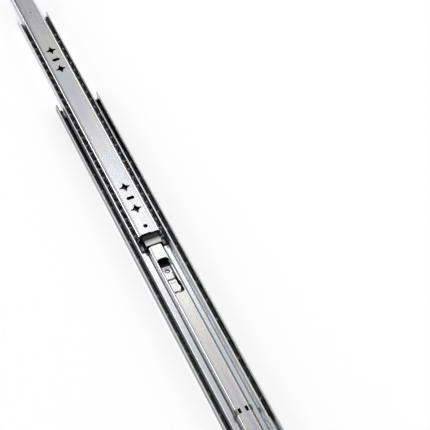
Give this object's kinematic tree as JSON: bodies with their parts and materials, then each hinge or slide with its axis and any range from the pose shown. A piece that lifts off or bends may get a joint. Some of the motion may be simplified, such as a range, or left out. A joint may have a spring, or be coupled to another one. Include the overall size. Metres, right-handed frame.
{
  "type": "cabinet drawer slide",
  "caption": "Full-extension ball-bearing drawer slide: three nested zinc-plated rails with ball cages, a release lever and screw holes, shown partly pulled out.",
  "frame": {"origin": "centre of the cabinet rail's flat back face", "axes": "+X the way the drawer pulls out, +Z from the cabinet wall towards the drawer, +Y to the left of +X"},
  "size_m": [1.1905, 0.051, 0.0155],
  "materials": {
    "cabinet_zinc": "bright zinc plate",
    "middle_zinc": "bright zinc plate",
    "drawer_zinc": "bright zinc plate",
    "cage_steel": "oiled sheet steel",
    "ball_steel": "polished",
    "rivet_steel": "zinc plate",
    "black_rubber": "matt",
    "pad_plastic": "satin moulded",
    "lever_plastic": "satin moulded"
  },
  "bodies": {
    "cabinet": {"cabinet_member": "cabinet_zinc", "rear_buffer": "black_rubber", "rear_buffer_rivet": "rivet_steel"},
    "middle": {"middle_member": "middle_zinc"},
    "drawer": {"drawer_member": "drawer_zinc", "lever_rivet": "rivet_steel"},
    "release": {"release_lever": "lever_plastic"},
    "outer_cage": {"outer_ball_cage": "cage_steel", "outer_balls_left": "ball_steel", "outer_balls_right": "ball_steel"},
    "inner_cage": {"inner_ball_cage": "cage_steel", "cage_end_pad": "pad_plastic", "inner_balls_left": "ball_steel", "inner_balls_right": "ball_steel"}
  },
  "joints": [
    {"name": "middle_slide", "type": "slide", "parent": "cabinet", "child": "middle", "axis": [1, 0, 0], "range_m": [-0.1455, 0.1665]},
    {"name": "drawer_slide", "type": "slide", "parent": "middle", "child": "drawer", "axis": [1, 0, 0], "range_m": [-0.345, 0]},
    {"name": "outer_cage_slide", "type": "slide", "parent": "cabinet", "child": "outer_cage", "axis": [1, 0, 0], "range_m": [-0.0728, 0.0833]},
    {"name": "inner_cage_slide", "type": "slide", "parent": "middle", "child": "inner_cage", "axis": [1, 0, 0], "range_m": [-0.1726, 0.0001]},
    {"name": "release_lever_turn", "type": "hinge", "parent": "drawer", "child": "release", "pos_m": [0.5005, 0, 0.013], "axis": [0, 0, 1], "range_deg": [0, 7], "stiffness_Nm_per_rad": 0.02, "springref_deg": -5.73}
  ],
  "couplings": [
    {"joint": "outer_cage_slide", "follows": "middle_slide", "ratio": 0.5},
    {"joint": "inner_cage_slide", "follows": "drawer_slide", "ratio": 0.5}
  ]
}
